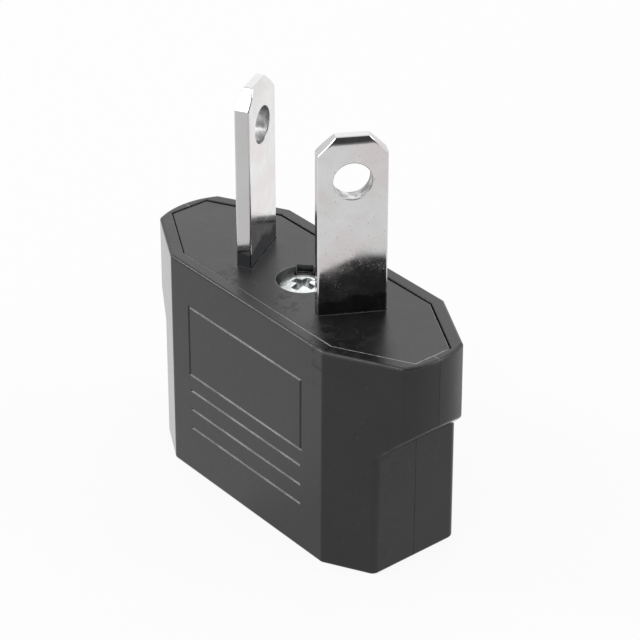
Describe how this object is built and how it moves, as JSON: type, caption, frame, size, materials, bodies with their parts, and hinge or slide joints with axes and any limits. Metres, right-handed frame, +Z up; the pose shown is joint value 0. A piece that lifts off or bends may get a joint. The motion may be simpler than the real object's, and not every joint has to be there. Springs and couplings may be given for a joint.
{
  "type": "plug adapter",
  "caption": "Black moulded travel plug adapter with flat blades in a V on top, a screwed carrier plate and a socket face for round and flat pins.",
  "frame": {"origin": "centre of the socket face, on the plane the adapter stands on", "axes": "+Z up from the socket face to the blade tips, +X along the long side of the body, +Y towards the open side of the blades' V"},
  "size_m": [0.0374, 0.0146, 0.0402],
  "materials": {
    "housing": "satin moulded",
    "carrier": "satin moulded",
    "blade": "nickel plated",
    "contact": "bare bronze strip",
    "clip": "spring steel strip",
    "screw": "bright zinc"
  },
  "bodies": {
    "root": {"housing": "housing", "blade_carrier": "carrier", "blade_left": "blade", "blade_right": "blade", "contact_jaw_front_left": "contact", "contact_jaw_front_right": "contact", "contact_jaw_back_left": "contact", "contact_jaw_back_right": "contact", "pressure_clip_left": "clip", "pressure_clip_right": "clip", "centre_screw": "screw"}
  },
  "joints": []
}
